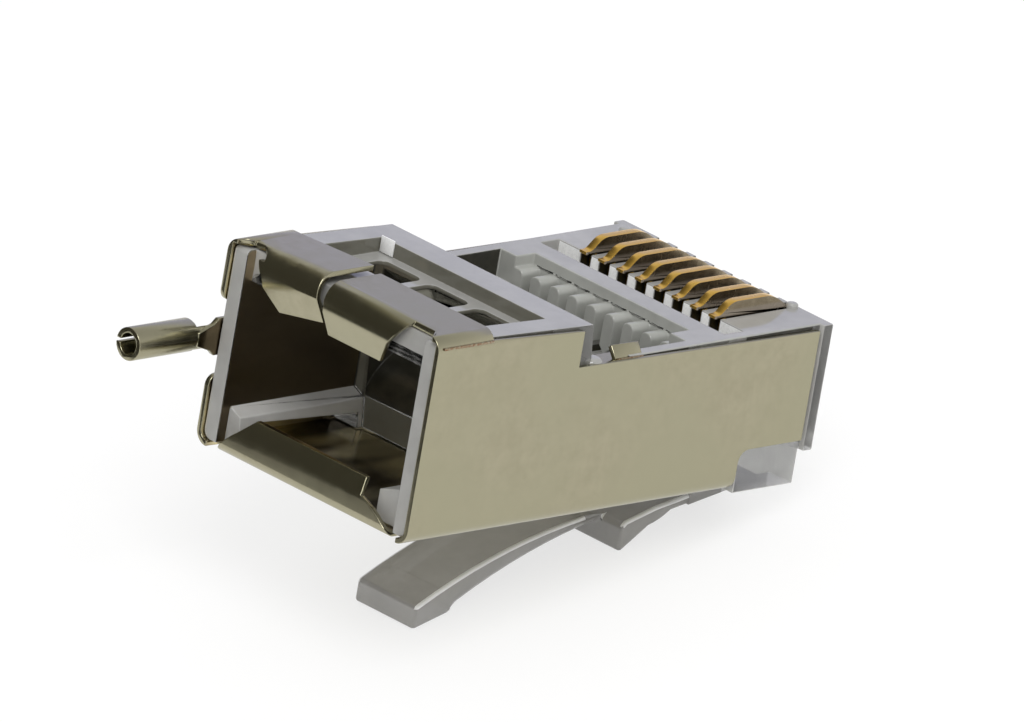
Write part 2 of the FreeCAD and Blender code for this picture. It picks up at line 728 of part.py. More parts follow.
def build_latch():
    """The lever and its shoulders, bending at the strap that joins it to the nose."""
    body = new_body("latch")
    strap = d.strap_thickness / 2
    ramp_end = d.lock_place + d.ramp_length
    ramp_foot = d.lock_foot + d.ramp_rise
    run = d.hinge_place - ramp_end

    lever = new_sketch(body, "LatchLever", "XZ")
    slope = (d.lock_foot - d.thumb_foot) / (d.lock_place - d.thumb_place)
    pad_end = d.thumb_place + d.thumb_pad
    pad_foot = d.thumb_foot + d.thumb_pad * slope
    outline(lever, (d.thumb_place, d.thumb_foot), (pad_end, pad_foot, d.thumb_blend),
            (pad_end + d.thumb_step, pad_foot + d.thumb_step, d.lever_curve), (ramp_end, ramp_foot),
            (ramp_end, ramp_foot + strap), (d.lock_place + strap, d.lock_top, -d.lever_curve),
            (d.thumb_place, d.thumb_top))
    arm = pad(body, lever, 2 * d.lever_half_width, both=True)
    rise = (d.lock_top + d.thumb_top) / 2
    middle = (d.thumb_place + d.lock_place) / 2
    chamfer(body, arm, d.lever_round, (middle, d.lever_half_width, rise),
            (middle, -d.lever_half_width, rise))

    wide = new_sketch(body, "LatchShoulders", "XZ")
    outline(wide, (d.lock_place, d.lock_foot), (d.lock_place, d.lock_top - strap),
            (d.lock_place + strap, d.lock_top),
            (ramp_end, d.hinge_height + strap - d.strap_slope * run),
            (d.hinge_place, d.hinge_height + strap), (d.hinge_place + strap, d.hinge_height + strap),
            (d.hinge_place + strap, d.hinge_height - strap), (d.hinge_place, d.hinge_height - strap),
            (ramp_end + run / 3, d.hinge_height - strap - d.strap_slope * run * 2 / 3, d.ramp_curve),
            (ramp_end - strap, ramp_foot - strap), (d.lock_place + strap, d.lock_foot))
    shoulders = pad(body, wide, 2 * d.wide_half_width, both=True)
    fillet(body, shoulders, strap * 0.98, (d.hinge_place + strap, 0, d.hinge_height + strap),
           (d.hinge_place + strap, 0, d.hinge_height - strap))
    return body


def build_contact(number):
    """A blade with three prongs, standing proud in its slot until it is driven home."""
    body = new_body(f"contact_{number}")
    profile = new_sketch(body, f"Blade{number}", "XZ")
    rear, front = d.contact_rear, d.contact_front
    crown = d.nose_height + d.contact_rise
    foot = d.nose_height + d.contact_foot
    shank = d.nose_height - d.shank_drop
    tip = shank - d.prong_length
    start = rear + d.shank_setback
    prong = d.prong_width / 2
    centres = [start + prong, (start + front) / 2, front - prong]
    teeth = []
    for centre in centres:
        teeth += [(centre - prong, shank), (centre, tip), (centre + prong, shank)]
    outline(profile, (rear, foot), (rear, foot - d.foot_sheet), (start, foot - d.foot_sheet), *teeth,
            (front, foot), (front - d.contact_toe, crown), (rear + d.contact_heel, crown),
            (rear + d.foot_length, foot))
    blade = pad(body, profile, d.contact_gauge, both=True)
    fillet(body, blade, d.contact_round, (rear + d.contact_heel, 0, crown),
           (front - d.contact_toe, 0, crown), (rear + d.foot_length, 0, foot))
    return body


def check_features():
    """Stop at any failed object, and at any pocket that removed nothing."""
    for item in doc.Objects:
        if "Invalid" in item.State or "Error" in item.State:
            raise RuntimeError(f"{item.Name} failed: {item.State}")
        if item.TypeId == "PartDesign::Pocket":
            if item.BaseFeature.Shape.Volume - item.Shape.Volume < 1e-4:
                raise RuntimeError(f"{item.Name} removed nothing")


def rest_placement(shapes):
    """The pitch that stands the latch on its thumb end and shoulders, centred over the origin."""
    rise = d.lock_foot - d.thumb_foot
    run = d.lock_place - d.thumb_place
    pitch = FreeCAD.Rotation(V(0, 1, 0), math.degrees(math.atan2(rise.number, run.number)))
    turned = Part.Compound(shapes)
    turned.Placement = FreeCAD.Placement(V(0, 0, 0), pitch)
    box = turned.optimalBoundingBox(False, False)
    return FreeCAD.Placement(V(-box.Center.x, -box.Center.y, -box.ZMin), pitch)


housing = build_housing()
shield = build_shield()
latch = build_latch()
contacts = [build_contact(number + 1) for number in range(CONTACTS)]
doc.recompute()

rows = [(first_lane + index * d.contact_pitch).number for index in range(CONTACTS)]
for contact, across in zip(contacts, rows):
    contact.Placement = FreeCAD.Placement(V(0, across, 0), FreeCAD.Rotation())
doc.recompute()
check_features()

parts = [housing, shield, latch] + contacts
rest = rest_placement([part.Shape for part in parts])
for part in parts:
    part.Placement = rest * part.Placement
doc.recompute()
check_features()

os.makedirs("parts", exist_ok=True)
for part in parts:
    if part.Shape.isNull() or not part.Shape.isValid():
        raise RuntimeError(f"{part.Label} has no valid shape")
    part.Shape.exportStep(f"parts/{part.Label}.step")
    print(f"{part.Label}: {part.Shape.Volume:.2f} mm3, {len(part.Shape.Solids)} solid")
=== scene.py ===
"""Finishes and studio for a shielded modular plug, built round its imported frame.

Lengths are metres in the frame's own axes, unless a comment says otherwise: the plug lies pitched
nose-down on its latch, with the nose towards +X and the floor at Z = 0. The plug's own axes are
turned back by the pitch: x runs from the cable entry to the nose, y from the near side to the far
side with 0 in the middle, and z from the latch side to the contact side.
"""

import json
import math

import bmesh
import bpy
from mathutils import Matrix, Vector
from mathutils.bvhtree import BVHTree


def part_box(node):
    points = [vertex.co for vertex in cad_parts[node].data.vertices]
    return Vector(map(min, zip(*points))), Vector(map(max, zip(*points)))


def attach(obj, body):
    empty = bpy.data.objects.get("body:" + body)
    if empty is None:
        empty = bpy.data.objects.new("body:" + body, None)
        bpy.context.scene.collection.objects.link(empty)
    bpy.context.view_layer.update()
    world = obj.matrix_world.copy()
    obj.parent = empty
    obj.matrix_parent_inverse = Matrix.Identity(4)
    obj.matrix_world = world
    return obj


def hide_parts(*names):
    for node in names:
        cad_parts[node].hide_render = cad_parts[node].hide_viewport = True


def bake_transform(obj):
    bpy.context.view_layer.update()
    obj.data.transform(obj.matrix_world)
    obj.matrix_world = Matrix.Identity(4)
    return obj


bl_info = {
    "name": "Shielded modular plug",
    "version": (1, 0, 0),
    "blender": (4, 5, 0),
    "location": "3D View > Sidebar > Plug",
    "description": "Finishes the pieces of a shielded modular plug and sets up a small studio",
    "category": "Object",
}

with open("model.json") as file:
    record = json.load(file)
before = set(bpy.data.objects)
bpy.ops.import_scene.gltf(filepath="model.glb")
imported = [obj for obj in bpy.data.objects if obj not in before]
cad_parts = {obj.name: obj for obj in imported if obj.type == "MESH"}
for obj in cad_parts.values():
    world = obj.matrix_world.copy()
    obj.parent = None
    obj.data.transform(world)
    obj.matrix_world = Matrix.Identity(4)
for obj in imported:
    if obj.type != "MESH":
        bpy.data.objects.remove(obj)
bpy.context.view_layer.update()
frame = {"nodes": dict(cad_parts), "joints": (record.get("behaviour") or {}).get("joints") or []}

MM = 0.001
ROOT = "plug"
CONTACTS = sorted(name for name in frame["nodes"] if name.startswith("contact"))
JOINTS = {joint["name"]: joint for joint in frame["joints"]}
PLUG_DOWN = Vector(JOINTS[f"{CONTACTS[0]}_crimp"]["axis"])
PITCH = math.atan2(-PLUG_DOWN.x, -PLUG_DOWN.z)
HINGE = Vector(JOINTS["latch_flex"]["pos_m"])
HINGE_PLACE = Vector((19.3, 0, -1.4)) * MM  # the latch's bending line in the plug's own axes
FROM_PLUG = (Matrix.Translation(HINGE) @ Matrix.Rotation(PITCH, 4, "Y")
             @ Matrix.Translation(-HINGE_PLACE))
TO_PLUG = FROM_PLUG.inverted()
PLUG_TURN = TO_PLUG.to_3x3()
# a height in plug_coordinates is the plug's own height with this added
SHADER_LIFT = (Matrix.Rotation(-PITCH, 3, "Y") @ HINGE - HINGE_PLACE).z

# each finish's place in the list of its piece's materials; the sheet's inside, the slots, the
# hollows and the shaded wall are painted shade, and the cut edges that face sideways, the ribs'
# ends and the latch's rounded edges are painted light
PLATED, CUT, INSIDE, EDGE_HIGHLIGHT = range(4)
CLOUDY, CLEAR, SLOT_SHADE, PAINTED_LIGHT_RIB, HOLLOW_SHADE, MILKY, NOSE_BLOCK, SHADED_WALL, COMB = range(9)
LATCH_SKIN, LATCH_HIGHLIGHT = range(2)

# the plug's own places and widths, in millimetres
RAISED_ROOF = 8.07
FRONT_DECK = 6.32
ROOF_STEP = 8.6
REAR_END = 1.5
FRONT_END = 20
SHEET_GAUGE = 0.22
SHEET_INSIDE = 5.74
SHEET_MIDDLE = 4.2
SLOTS_START = 17.2
SLOTS_FLOOR = 2.5
SLOTS_HALF_WIDTH = 4.3
RIBS_FLOOR = 4.3
CHEEKS_START = 13
CHEEKS_INSIDE = 3.8
NOSE_BLOCK_START = 17.5
NOSE_BLOCK_TOP = 1.3
ENTRY_START = 0.2
ENTRY_END = 6.9
ENTRY_ROOF = 7.0
FAR_WALL = 4.8
LEDGE_START = 0.5
LEDGE_LOW = 0.8
LEDGE_HIGH = 2.1
LEDGE_INSIDE = 3.3
JAW_START = 1.5
JAW_HALF_WIDTH = 4.9
JAW_FOOT = 4.5
THROAT_START = 7.15
THROAT_FLOOR = 1.6
THROAT_ROOF = 6.8
HOLLOW_HALF_WIDTH = 5.15
HOLLOW_FLOOR = 2
COMB_START = 14.1
COMB_END = 16.4
COMB_FLOOR = 4.4
BLADE_REAR = 17.08
BLADE_FRONT = 20.95
BLADE_RISE = 0.6
BLADE_FOOT = 0.1
BLADE_FOOT_GAUGE = 0.12
BLADE_SHANK_DROP = 0.97
BLADE_PRONGS = (17.95, 19.325, 20.7)
BLADE_PRONG_HALF = 0.25
BLADE_PRONG_LENGTH = 0.6
BLADE_GAUGE = 0.36
STRAP_REAR = 18.4
STRAP_FRONT = 20.1
STRAP_THICKNESS = 0.43
STRAP_HALF_WIDTH = 2.86
STRAP_SLOPE = 0.17
CAMERA_TARGET = Vector((1.33, -0.57, 8.34)) * MM

# how the faces are sorted among the finishes
LOOSELY, FACING, SQUARELY = 0.5, 0.6, 0.7  # least part of a normal along the axis that it faces
FLUSH = 0.03  # millimetres below the deck at which a slot's wall starts
ROOF_SKIN = 0.35  # millimetres below the roof or deck that still count as its top
SMALLEST_PALE = 0.06 * MM * MM  # rounded edges smaller than this keep their own finish
SAME_PLACE = 1e-7  # points nearer than this are one point
POLYCARBONATE_IOR = 1.585


def from_plug(x, y, z):
    """A place in the plug's own axes, in millimetres, as a place in the scene."""
    return FROM_PLUG @ (Vector((x, y, z)) * MM)


# ---------------------------------------------------------------- meshes


def shade_round(piece, angle=50):
    """Smooth shading that keeps broad faces flat and breaks at corners sharper than the angle."""
    piece.data.shade_smooth()
    if piece.data.has_custom_normals:
        with bpy.context.temp_override(object=piece, active_object=piece, selected_objects=[piece]):
            bpy.ops.mesh.customdata_custom_splitnormals_clear()
    piece.data.set_sharp_from_angle(angle=math.radians(angle))
    weighted = piece.modifiers.new("flat_faces", "WEIGHTED_NORMAL")
    weighted.keep_sharp = True


def shaded_object(name, mesh):
    """An object that shows a mesh, linked to the scene and smoothly shaded."""
    piece = bpy.data.objects.new(name, mesh)
    bpy.context.scene.collection.objects.link(piece)
    shade_round(piece)
    return piece


def object_from(name, shape):
    """An object that shows a finished bmesh, which is freed."""
    mesh = bpy.data.meshes.new(name)
    shape.to_mesh(mesh)
    shape.free()
    return shaded_object(name, mesh)


def trim_piece(name, shape, material):
    """A small piece that is fixed to the plug, from a bmesh, with its material."""
    bmesh.ops.recalc_face_normals(shape, faces=shape.faces)
    piece = object_from(name, shape)
    piece.data.materials.append(material)
    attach(piece, ROOT)
    return piece


def round_over(shape, edges, width, clamped=True):
    """Round edges of a bmesh over in two steps."""
    bmesh.ops.bevel(shape, geom=edges, offset=width, offset_type="OFFSET", segments=2, profile=0.5,
                    affect="EDGES", clamp_overlap=clamped)


def skin(rings):
    """A closed bmesh through rings of places, in millimetres of the plug's own axes."""
    shape = bmesh.new()
    loops = [[shape.verts.new(from_plug(*place)) for place in ring] for ring in rings]
    for loop, following in zip(loops, loops[1:]):
        for step in range(len(loop)):
            after = (step + 1) % len(loop)
            shape.faces.new((loop[step], loop[after], following[after], following[step]))
    shape.faces.new(loops[0][::-1])
    shape.faces.new(loops[-1])
    return shape


def thin_plate(name, low, high, material):
    """A thin plate between two corners, in millimetres of the plug's own axes."""
    shape = bmesh.new()
    bmesh.ops.create_cube(shape, size=1)
    size = Vector(high) - Vector(low)
    middle = (Vector(high) + Vector(low)) / 2
    for point in shape.verts:
        away = Vector(part * length for part, length in zip(point.co, size))
        point.co = from_plug(*(middle + away))
    round_over(shape, shape.edges[:], 0.2 * min(size) * MM)
    return trim_piece(name, shape, material)


def leaning_strip(name, ends, low, run, thickness, material):
    """A strip along the plug, whose section starts at low (y, z) and runs up and inward by run."""
    start, up = Vector(low), Vector(run)
    out = Vector((-up.y, up.x)).normalized() * thickness
    section = (start, start + up, start + up - out, start - out)
    shape = skin([[(x, *corner) for corner in section] for x in ends])
    round_over(shape, shape.edges[:], 0.2 * thickness * MM)
    return trim_piece(name, shape, material)


def rounded_boss(name, centre, radius, heights, material, around=24):
    """A short upright pin with a domed top, moulded on the body."""
    low, high = heights
    dome = 0.45 * radius
    outline = [(radius, low), (radius, high - dome)]
    outline += [(radius - dome * (1 - math.cos(angle)), high - dome * (1 - math.sin(angle)))
                for angle in (math.radians(30), math.radians(60), math.radians(90))]
    turns = [math.tau * step / around for step in range(around)]
    shape = skin([[(centre[0] + reach * math.cos(turn), centre[1] + reach * math.sin(turn), z)
                   for turn in turns] for reach, z in outline])
    return trim_piece(name, shape, material)


def make_strap(name, stations=18):
    """The thin strap that the latch bends on, run in one sheet across the bending line."""
    rings = []
    for index in range(stations + 1):
        x = STRAP_REAR + (STRAP_FRONT - STRAP_REAR) * index / stations
        middle = HINGE_PLACE.z / MM + STRAP_SLOPE * (x - HINGE_PLACE.x / MM)
        rings.append([(x, across * STRAP_HALF_WIDTH, middle + up * STRAP_THICKNESS / 2)
                      for across, up in ((-1, -1), (1, -1), (1, 1), (-1, 1))])
    shape = skin(rings)
    bmesh.ops.recalc_face_normals(shape, faces=shape.faces)
    return object_from(name, shape)


def rounded_corners(corners, steps=7):
    """The outline through corners given as x, z and radius, with an arc of that radius at each."""
    straight = math.radians(89)
    outline = []
    for index, (x, z, radius) in enumerate(corners):
        corner = Vector((x, z))
        before = (Vector(corners[index - 1][:2]) - corner).normalized()
        after = (Vector(corners[(index + 1) % len(corners)][:2]) - corner).normalized()
        half = before.angle(after) / 2
        if radius == 0 or half > straight:
            outline.append(corner)
            continue
        reach = radius / math.tan(half)
        centre = corner + (before + after).normalized() * radius / math.sin(half)
        first, last = corner + before * reach - centre, corner + after * reach - centre
        turn = first.angle_signed(last)
        for step in range(steps + 1):
            angle = -turn * step / steps
            spun = Vector((first.x * math.cos(angle) - first.y * math.sin(angle),
                           first.x * math.sin(angle) + first.y * math.cos(angle)))
            outline.append(centre + spun)
    return outline


def make_blade(name, middle, edge):
    """A contact blade: curled foot, S-shaped rise, crown and round toe above three prongs."""
    shank = FRONT_DECK - BLADE_SHANK_DROP
    foot, crown = FRONT_DECK + BLADE_FOOT, FRONT_DECK + BLADE_RISE
    under_foot = foot - BLADE_FOOT_GAUGE
    rear, front = BLADE_REAR, BLADE_FRONT
    # each corner is x, z and the radius of its arc
    prongs = []
    for centre in BLADE_PRONGS:
        prongs += [(centre - BLADE_PRONG_HALF, shank, 0),
                   (centre, shank - BLADE_PRONG_LENGTH, 0.04),
                   (centre + BLADE_PRONG_HALF, shank, 0)]
    outline = rounded_corners([
        (rear, foot, 0.05), (rear, under_foot, 0.05),
        (BLADE_PRONGS[0] - BLADE_PRONG_HALF, under_foot, 0), *prongs,
        (front, foot - 0.1, 0), (front, foot, 0.32), (front - 0.85, crown, 1.5),
        (rear + 0.86, crown, 0.8), (rear + 0.3, foot, 0.35)])
    shape = bmesh.new()
    sides = [[shape.verts.new(from_plug(x, middle + side * BLADE_GAUGE / 2, z)) for x, z in outline]
             for side in (-1, 1)]
    shape.faces.new(sides[0])
    shape.faces.new(sides[1][::-1])
    for index in range(len(outline)):
        after = (index + 1) % len(outline)
        shape.faces.new((sides[0][after], sides[0][index], sides[1][index], sides[1][after]))
    bmesh.ops.remove_doubles(shape, verts=shape.verts, dist=SAME_PLACE)
    bmesh.ops.recalc_face_normals(shape, faces=shape.faces)
    rims = [line for line in shape.edges if line.calc_face_angle(0) > math.radians(80)
            and any(abs(face.normal.y) > 0.9 for face in line.link_faces)]
    round_over(shape, rims, edge)
    return object_from(name, shape)


def softened(node, name, width, folded=False, sharpest=35):
    """A copy of a CAD node with its flat faces made whole and its sharp edges rounded over.

    A folded sheet also has its cut edges marked, for the finishes that they get.
    """
    mesh = frame["nodes"][node].data.copy()
    mesh.name = name
    shape = bmesh.new()
    shape.from_mesh(mesh)
    bmesh.ops.remove_doubles(shape, verts=shape.verts, dist=SAME_PLACE)
    bmesh.ops.dissolve_limit(shape, angle_limit=math.radians(0.5), verts=shape.verts,
                             edges=shape.edges)
    sharp = [edge for edge in shape.edges if edge.calc_face_angle(0) > math.radians(sharpest)]
    if folded:
        mark_cut_edges(shape)
    surface = BVHTree.FromBMesh(shape)
    round_over(shape, sharp, width, clamped=False)
    for point in shape.verts:
        nearest, _, _, gap = surface.find_nearest(point.co)
        if gap > 0.6 * width:
            point.co = nearest
    shape.to_mesh(mesh)
    shape.free()
    mesh.materials.clear()
    return shaded_object(name, mesh)


def mark_cut_edges(shape):
    """Mark each face as wide as the sheet is thick, whose long sides both turn a corner."""
    gauge = SHEET_GAUGE * MM
    for face in shape.faces:
        sides = sorted(face.edges, key=lambda edge: edge.calc_length(), reverse=True)[:2]
        width = face.calc_area() / max(sides[0].calc_length(), 1e-9)
        turned = all(side.calc_face_angle(0) > math.radians(60) for side in sides)
        if turned and abs(width - gauge) < 0.1 * gauge:
            # cut edges that face sideways get the finish that paints a highlight
            face.material_index = EDGE_HIGHLIGHT if abs(face.normal.y) > SQUARELY else CUT


def mark_inner_faces(piece):
    """Mark the faces of the folded sheet that look in at the plug's middle, for the inside finish
    and its painted shade.
    """
    for face in piece.data.polygons:
        place = (TO_PLUG @ face.center) / MM
        normal = PLUG_TURN @ face.normal
        inward = Vector((place.x, 0, SHEET_MIDDLE)) - place
        within = abs(place.y) < SHEET_INSIDE and place.x > -0.01 and normal.x > -0.3
        if within and normal.dot(inward) > 0.25 * inward.length:
            face.material_index = INSIDE


def moulding_finish(place, normal, area):
    """The finish of one face of the moulding, from where it lies in the plug and how it looks. Some
    finishes are painted shade, and some painted light.
    """
    x, y, z = place
    beside = abs(y)
    top = RAISED_ROOF if x < ROOF_STEP else FRONT_DECK
    # painted shade: the slots' walls are near black
    if (abs(normal.y) > LOOSELY and x > SLOTS_START and beside < SLOTS_HALF_WIDTH
            and SLOTS_FLOOR < z < top - FLUSH):
        return SLOT_SHADE
    # painted light: faces that look toward the entry are near white
    if (normal.x < -FACING and z > RIBS_FLOOR and area > SMALLEST_PALE
            and (x > SLOTS_START or (x > CHEEKS_START and beside > CHEEKS_INSIDE))):
        return PAINTED_LIGHT_RIB
    if x > NOSE_BLOCK_START and z < NOSE_BLOCK_TOP:
        return NOSE_BLOCK
    if (normal.y < -SQUARELY and y > FAR_WALL and ENTRY_START < x < ENTRY_END
            and z < top - ROOF_SKIN):
        return SHADED_WALL
    # painted shade: the throat's walls and floor are near black
    if (THROAT_START < x < COMB_START and beside < HOLLOW_HALF_WIDTH
            and THROAT_FLOOR < z < THROAT_ROOF
            and (abs(normal.y) > SQUARELY or z < COMB_FLOOR)):
        return SLOT_SHADE
    if abs(normal.x) > FACING and not REAR_END <= x <= FRONT_END:
        return CLOUDY
    if COMB_START < x < COMB_END and z > COMB_FLOOR:
        return COMB
    if LEDGE_START < x < ENTRY_END and LEDGE_LOW < z < LEDGE_HIGH and beside > LEDGE_INSIDE:
        return MILKY
    # painted shade on the jaw's walls, except low faces that look toward the entry, which take the
    # comb's finish
    if JAW_START < x < ENTRY_END and beside < JAW_HALF_WIDTH and LEDGE_HIGH < z < ENTRY_ROOF:
        return COMB if normal.x < -LOOSELY and z < JAW_FOOT else HOLLOW_SHADE
    if normal.z > LOOSELY and z > top - ROOF_SKIN:
        return CLOUDY
    # painted shade: the hollows' walls are dark
    if (x > ENTRY_END or z > ENTRY_ROOF) and beside < HOLLOW_HALF_WIDTH and z > HOLLOW_FLOOR:
        return HOLLOW_SHADE if x < ROOF_STEP and normal.z < LOOSELY else CLOUDY
    return CLEAR


# ---------------------------------------------------------------- shader helpers


def node(tree, kind, inputs=None, **settings):
    """A shader node with its settings, and its inputs as values or the sockets that feed them."""
    made = tree.nodes.new(f"ShaderNode{kind}")
    for name, value in settings.items():
        setattr(made, name, value)
    for name, value in (inputs or {}).items():
        if isinstance(value, bpy.types.NodeSocket):
            tree.links.new(value, made.inputs[name])
        else:
            made.inputs[name].default_value = value
    return made


def new_material(name):
    """A material with an empty node tree, and that tree."""
    material = bpy.data.materials.new(name)
    material.use_nodes = True
    material.node_tree.nodes.clear()
    return material, material.node_tree


def plug_coordinates(tree, stretch=(1, 1, 1)):
    """Object coordinates turned into the plug's own axes, and stretched."""
    place = node(tree, "TexCoord")
    turn = node(tree, "Mapping", {"Vector": place.outputs["Object"], "Rotation": (0, -PITCH, 0)})
    return node(tree, "Mapping", {"Vector": turn.outputs[0], "Scale": stretch}).outputs[0]


def plug_height(tree):
    """The height in plug_coordinates."""
    return node(tree, "SeparateXYZ", {"Vector": plug_coordinates(tree)}).outputs["Z"]


def noise(tree, vector, scale, detail=3, roughness=0.5):
    """Noise from 0 to 1."""
    made = node(tree, "TexNoise", {"Vector": vector, "Scale": scale, "Detail": detail,
                                   "Roughness": roughness})
    return made.outputs["Fac"]


def ramped(tree, factor, low, high, start=0.35, end=0.65):
    """A number that goes from low to high as the factor goes from start to end."""
    made = node(tree, "MapRange", {"Value": factor, "From Min": start, "From Max": end,
                                   "To Min": low, "To Max": high})
    return made.outputs["Result"]


def mixed_colour(tree, factor, first, second):
    """A colour that goes from the first to the second as the factor goes from 0 to 1."""
    made = node(tree, "Mix", data_type="RGBA")
    for name, value in (("Factor", factor), ("A", first), ("B", second)):
        socket = next(item for item in made.inputs if item.name == name and item.enabled)
        if isinstance(value, bpy.types.NodeSocket):
            tree.links.new(value, socket)
        else:
            socket.default_value = value
    return next(item for item in made.outputs if item.enabled)


def bumped(tree, height, distance, strength=1.0, normal=None):
    """A normal raised by the height, over another normal if one is given."""
    inputs = {"Height": height, "Distance": distance, "Strength": strength}
    if normal is not None:
        inputs["Normal"] = normal
    return node(tree, "Bump", inputs).outputs[0]


def finish_material(tree, surface):
    """End a material's tree with its surface."""
    out = node(tree, "OutputMaterial")
    tree.links.new(surface.outputs[0], out.inputs["Surface"])


def colour(value):
    """Three parts of a colour as four."""
    return (*value, 1)


# ---------------------------------------------------------------- finishes


def plated_metal(settings):
    """Satin nickel on rolled sheet: faint rolling lines, a cloudy tone and a fine grain."""
    material, tree = new_material("plated_metal")
    cloud = noise(tree, plug_coordinates(tree), 1500, 5, 0.65)
    lines = noise(tree, plug_coordinates(tree, (250, 5000, 5000)), 1, 3)
    grain = noise(tree, plug_coordinates(tree), 26000, 2)
    patches = noise(tree, plug_coordinates(tree), 170, 2, 0.4)
    tone = mixed_colour(tree, ramped(tree, cloud, 0, 1), colour(settings.plating),
                        colour(settings.plating_cloud))
    tone = mixed_colour(tree, ramped(tree, patches, 0, 1), tone, colour(settings.plating_patch))
    haze = ramped(tree, cloud, settings.gloss - 0.03, settings.gloss + 0.03)
    ridges = bumped(tree, lines, 0.0003 * MM, 1)
    relief = bumped(tree, grain, 0.0002 * MM, 1, ridges)
    metal = node(tree, "BsdfPrincipled", {"Base Color": tone, "Metallic": 1.0, "Roughness": haze,
                                          "Normal": relief})
    finish_material(tree, metal)
    return material


def cut_metal(settings):
    """The sheared edge of the sheet, where the darker base metal shows in streaks."""
    material, tree = new_material("cut_metal")
    streaks = noise(tree, plug_coordinates(tree), 9000, 3)
    tone = mixed_colour(tree, ramped(tree, streaks, 0, 1), colour(settings.cut_edge),
                        colour(settings.plating))
    metal = node(tree, "BsdfPrincipled", {"Base Color": tone, "Metallic": 1.0, "Roughness": 0.3})
    finish_material(tree, metal)
    return material


def edge_highlight_metal(settings):
    """A sheared edge painted brighter than the plating as a highlight, with fine strokes."""
    material, tree = new_material("edge_highlight_metal")
    strokes = noise(tree, plug_coordinates(tree, (4000, 4000, 900)), 3, 3)
    tone = mixed_colour(tree, ramped(tree, strokes, 0, 1), colour(settings.edge_highlight),
                        colour(settings.plating))
    haze = ramped(tree, strokes, 0.14, 0.26)
    metal = node(tree, "BsdfPrincipled", {"Base Color": tone, "Metallic": 1.0, "Roughness": haze})
    finish_material(tree, metal)
    return material


def inner_metal(settings):
    """The inside of the folded sheet: dull, and darkened as painted shade, with a few bright
    streaks that are painted reflections.
    """
    material, tree = new_material("inner_metal")
    cloud = noise(tree, plug_coordinates(tree), 1400, 4, 0.6)
    dull = colour([0.7 * part for part in settings.inner])
    tone = mixed_colour(tree, ramped(tree, cloud, 0, 1), colour(settings.inner), dull)
    # painted reflections: bright streaks laid over the inside
    painted = noise(tree, plug_coordinates(tree, (160, 420, 420)), 1, 2)
    tone = mixed_colour(tree, ramped(tree, painted, 0, 1, 0.44, 0.58), tone,
                        colour(settings.inner_painted_reflection))
    haze = ramped(tree, cloud, 0.12, 0.2)
    metal = node(tree, "BsdfPrincipled", {"Base Color": tone, "Metallic": 1.0, "Roughness": haze})
    finish_material(tree, metal)
    return material


def clear_moulding(settings, name, tint, clarity, haze, shine=0.5, cover=1.0):
    """Polycarbonate, more or less cloudy, through which lamps reach what is inside.

    Clarity is the light that it bends and lets through, haze its roughness, shine its gloss, and
    cover the share of what lies behind it that it hides.
    """
    material, tree = new_material(name)
    ripple = noise(tree, plug_coordinates(tree), 450, 2)
    spark = noise(tree, plug_coordinates(tree), 7000, 2)
    cloud = noise(tree, plug_coordinates(tree), 700, 3, 0.6)
    rounded = node(tree, "Bevel", {"Radius": settings.edge_gloss}, samples=4)
    wavy = bumped(tree, ripple, 0.02 * MM, 0.35, rounded.outputs[0])
    tone = mixed_colour(tree, ramped(tree, cloud, 0, 1), colour(tint),
                        colour([0.9 * part for part in tint]))
    gloss = ramped(tree, spark, haze * 0.7, haze * 1.3)
    plastic = node(tree, "BsdfPrincipled", {"Base Color": tone, "Roughness": gloss,
                                            "IOR": POLYCARBONATE_IOR, "Alpha": cover,
                                            "Specular IOR Level": shine,
                                            "Transmission Weight": clarity, "Normal": wavy})
    light = node(tree, "LightPath")
    through = node(tree, "BsdfTransparent", {"Color": colour([0.5 + 0.45 * part for part in tint])})
    surface = node(tree, "MixShader", {0: light.outputs["Is Shadow Ray"]})
    tree.links.new(plastic.outputs[0], surface.inputs[1])
    tree.links.new(through.outputs[0], surface.inputs[2])
    finish_material(tree, surface)
    return material


def solid_moulding(name, light, dark, gloss):
    """Moulded faces that let nothing through: the slots and throat in near-black painted shade, and
    the pale ends of the ribs as painted light.
    """
    material, tree = new_material(name)
    cloud = noise(tree, plug_coordinates(tree), 1500, 4, 0.6)
    grain = noise(tree, plug_coordinates(tree), 9000, 2)
    tone = mixed_colour(tree, ramped(tree, cloud, 0, 1), colour(light), colour(dark))
    rough = ramped(tree, grain, gloss * 0.8, gloss * 1.2)
    plastic = node(tree, "BsdfPrincipled", {"Base Color": tone, "Roughness": rough,
                                            "IOR": POLYCARBONATE_IOR,
                                            "Normal": bumped(tree, grain, 0.0005 * MM, 0.5)})
    finish_material(tree, plastic)
    return material


def shaded_wall(settings):
    """The entry's far wall with the sheet behind it: warm and dim as painted shade, and darker
    toward the floor as more painted shade.
    """
    material, tree = new_material("shaded_wall")
    cloud = noise(tree, plug_coordinates(tree, (300, 300, 900)), 1, 3)
    # painted shade: the wall goes darker toward the floor
    rise = ramped(tree, plug_height(tree), 0, 1, SHADER_LIFT + 1.5 * MM, SHADER_LIFT + 7.5 * MM)
    shade = settings.shade_tint
    warm = mixed_colour(tree, ramped(tree, cloud, 0, 1), colour(shade),
                        colour([0.8 * part for part in shade]))
    tone = mixed_colour(tree, rise, colour([0.3 * part for part in shade]), warm)
    haze = ramped(tree, cloud, 0.28, 0.4)
    metal = node(tree, "BsdfPrincipled", {"Base Color": tone, "Metallic": 1.0, "Roughness": haze})
    finish_material(tree, metal)
    return material


